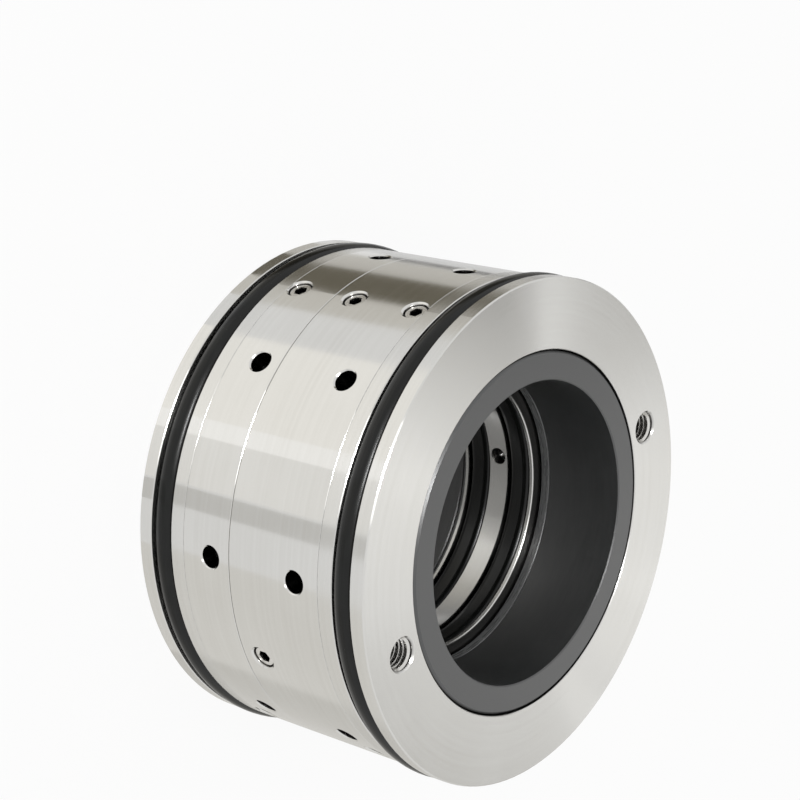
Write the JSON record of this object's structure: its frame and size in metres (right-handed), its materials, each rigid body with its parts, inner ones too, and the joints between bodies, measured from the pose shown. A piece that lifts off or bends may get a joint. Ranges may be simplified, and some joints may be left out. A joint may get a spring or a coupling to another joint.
{
  "type": "mechanical seal",
  "caption": "Double mechanical seal cartridge: a steel drum with silicon carbide faces, O-rings and flush holes that slides over a pump shaft and spins its rotor inside.",
  "frame": {"origin": "centre of the rear end face, the one without tapped holes", "axes": "+Z along the shaft axis towards the front end face; +X through the row of three grub screws"},
  "size_m": [0.1264, 0.1264, 0.071],
  "materials": {
    "steel": "stainless steel, finely turned and brushed round the axis",
    "rubber": "dark grey-black rubber with a soft sheen",
    "carbide": "matt dark grey silicon carbide, ground",
    "hard_steel": "ground stainless pin",
    "screw_steel": "stainless grub screw with a bright chamfer",
    "spring_steel": "drawn stainless spring wire"
  },
  "bodies": {
    "housing": {"front_end_ring": "steel", "rear_end_ring": "steel", "front_shell": "steel", "rear_shell": "steel", "front_outer_oring": "rubber", "rear_outer_oring": "rubber", "front_seat": "carbide", "rear_seat": "carbide", "front_seat_oring": "rubber", "rear_seat_oring": "rubber", "front_seat_pins": "hard_steel", "rear_seat_pins": "hard_steel", "front_lock_screws": "screw_steel", "rear_lock_screws": "screw_steel", "shell_lock_screws": "screw_steel"},
    "rotor": {"rotor_carrier": "steel", "front_shaft_packing": "rubber", "rear_shaft_packing": "rubber", "front_ring_oring": "rubber", "rear_ring_oring": "rubber", "shaft_set_screws": "screw_steel", "drive_pins": "hard_steel", "front_springs": "spring_steel", "rear_springs": "spring_steel"},
    "front_ring": {"front_face_ring": "carbide"},
    "rear_ring": {"rear_face_ring": "carbide"}
  },
  "joints": [
    {"name": "rotor_spin", "type": "hinge", "parent": "housing", "child": "rotor", "pos_m": [0, 0, 0.0347], "axis": [0, 0, 1], "continuous": true},
    {"name": "front_ring_float", "type": "slide", "parent": "rotor", "child": "front_ring", "axis": [0, 0, -1], "range_m": [0, 0.0005], "stiffness_N_per_m": 6000, "springref_m": -0.0025, "deforming": ["front_springs"]},
    {"name": "rear_ring_float", "type": "slide", "parent": "rotor", "child": "rear_ring", "axis": [0, 0, 1], "range_m": [0, 0.0005], "stiffness_N_per_m": 6000, "springref_m": -0.0025, "deforming": ["rear_springs"]}
  ]
}
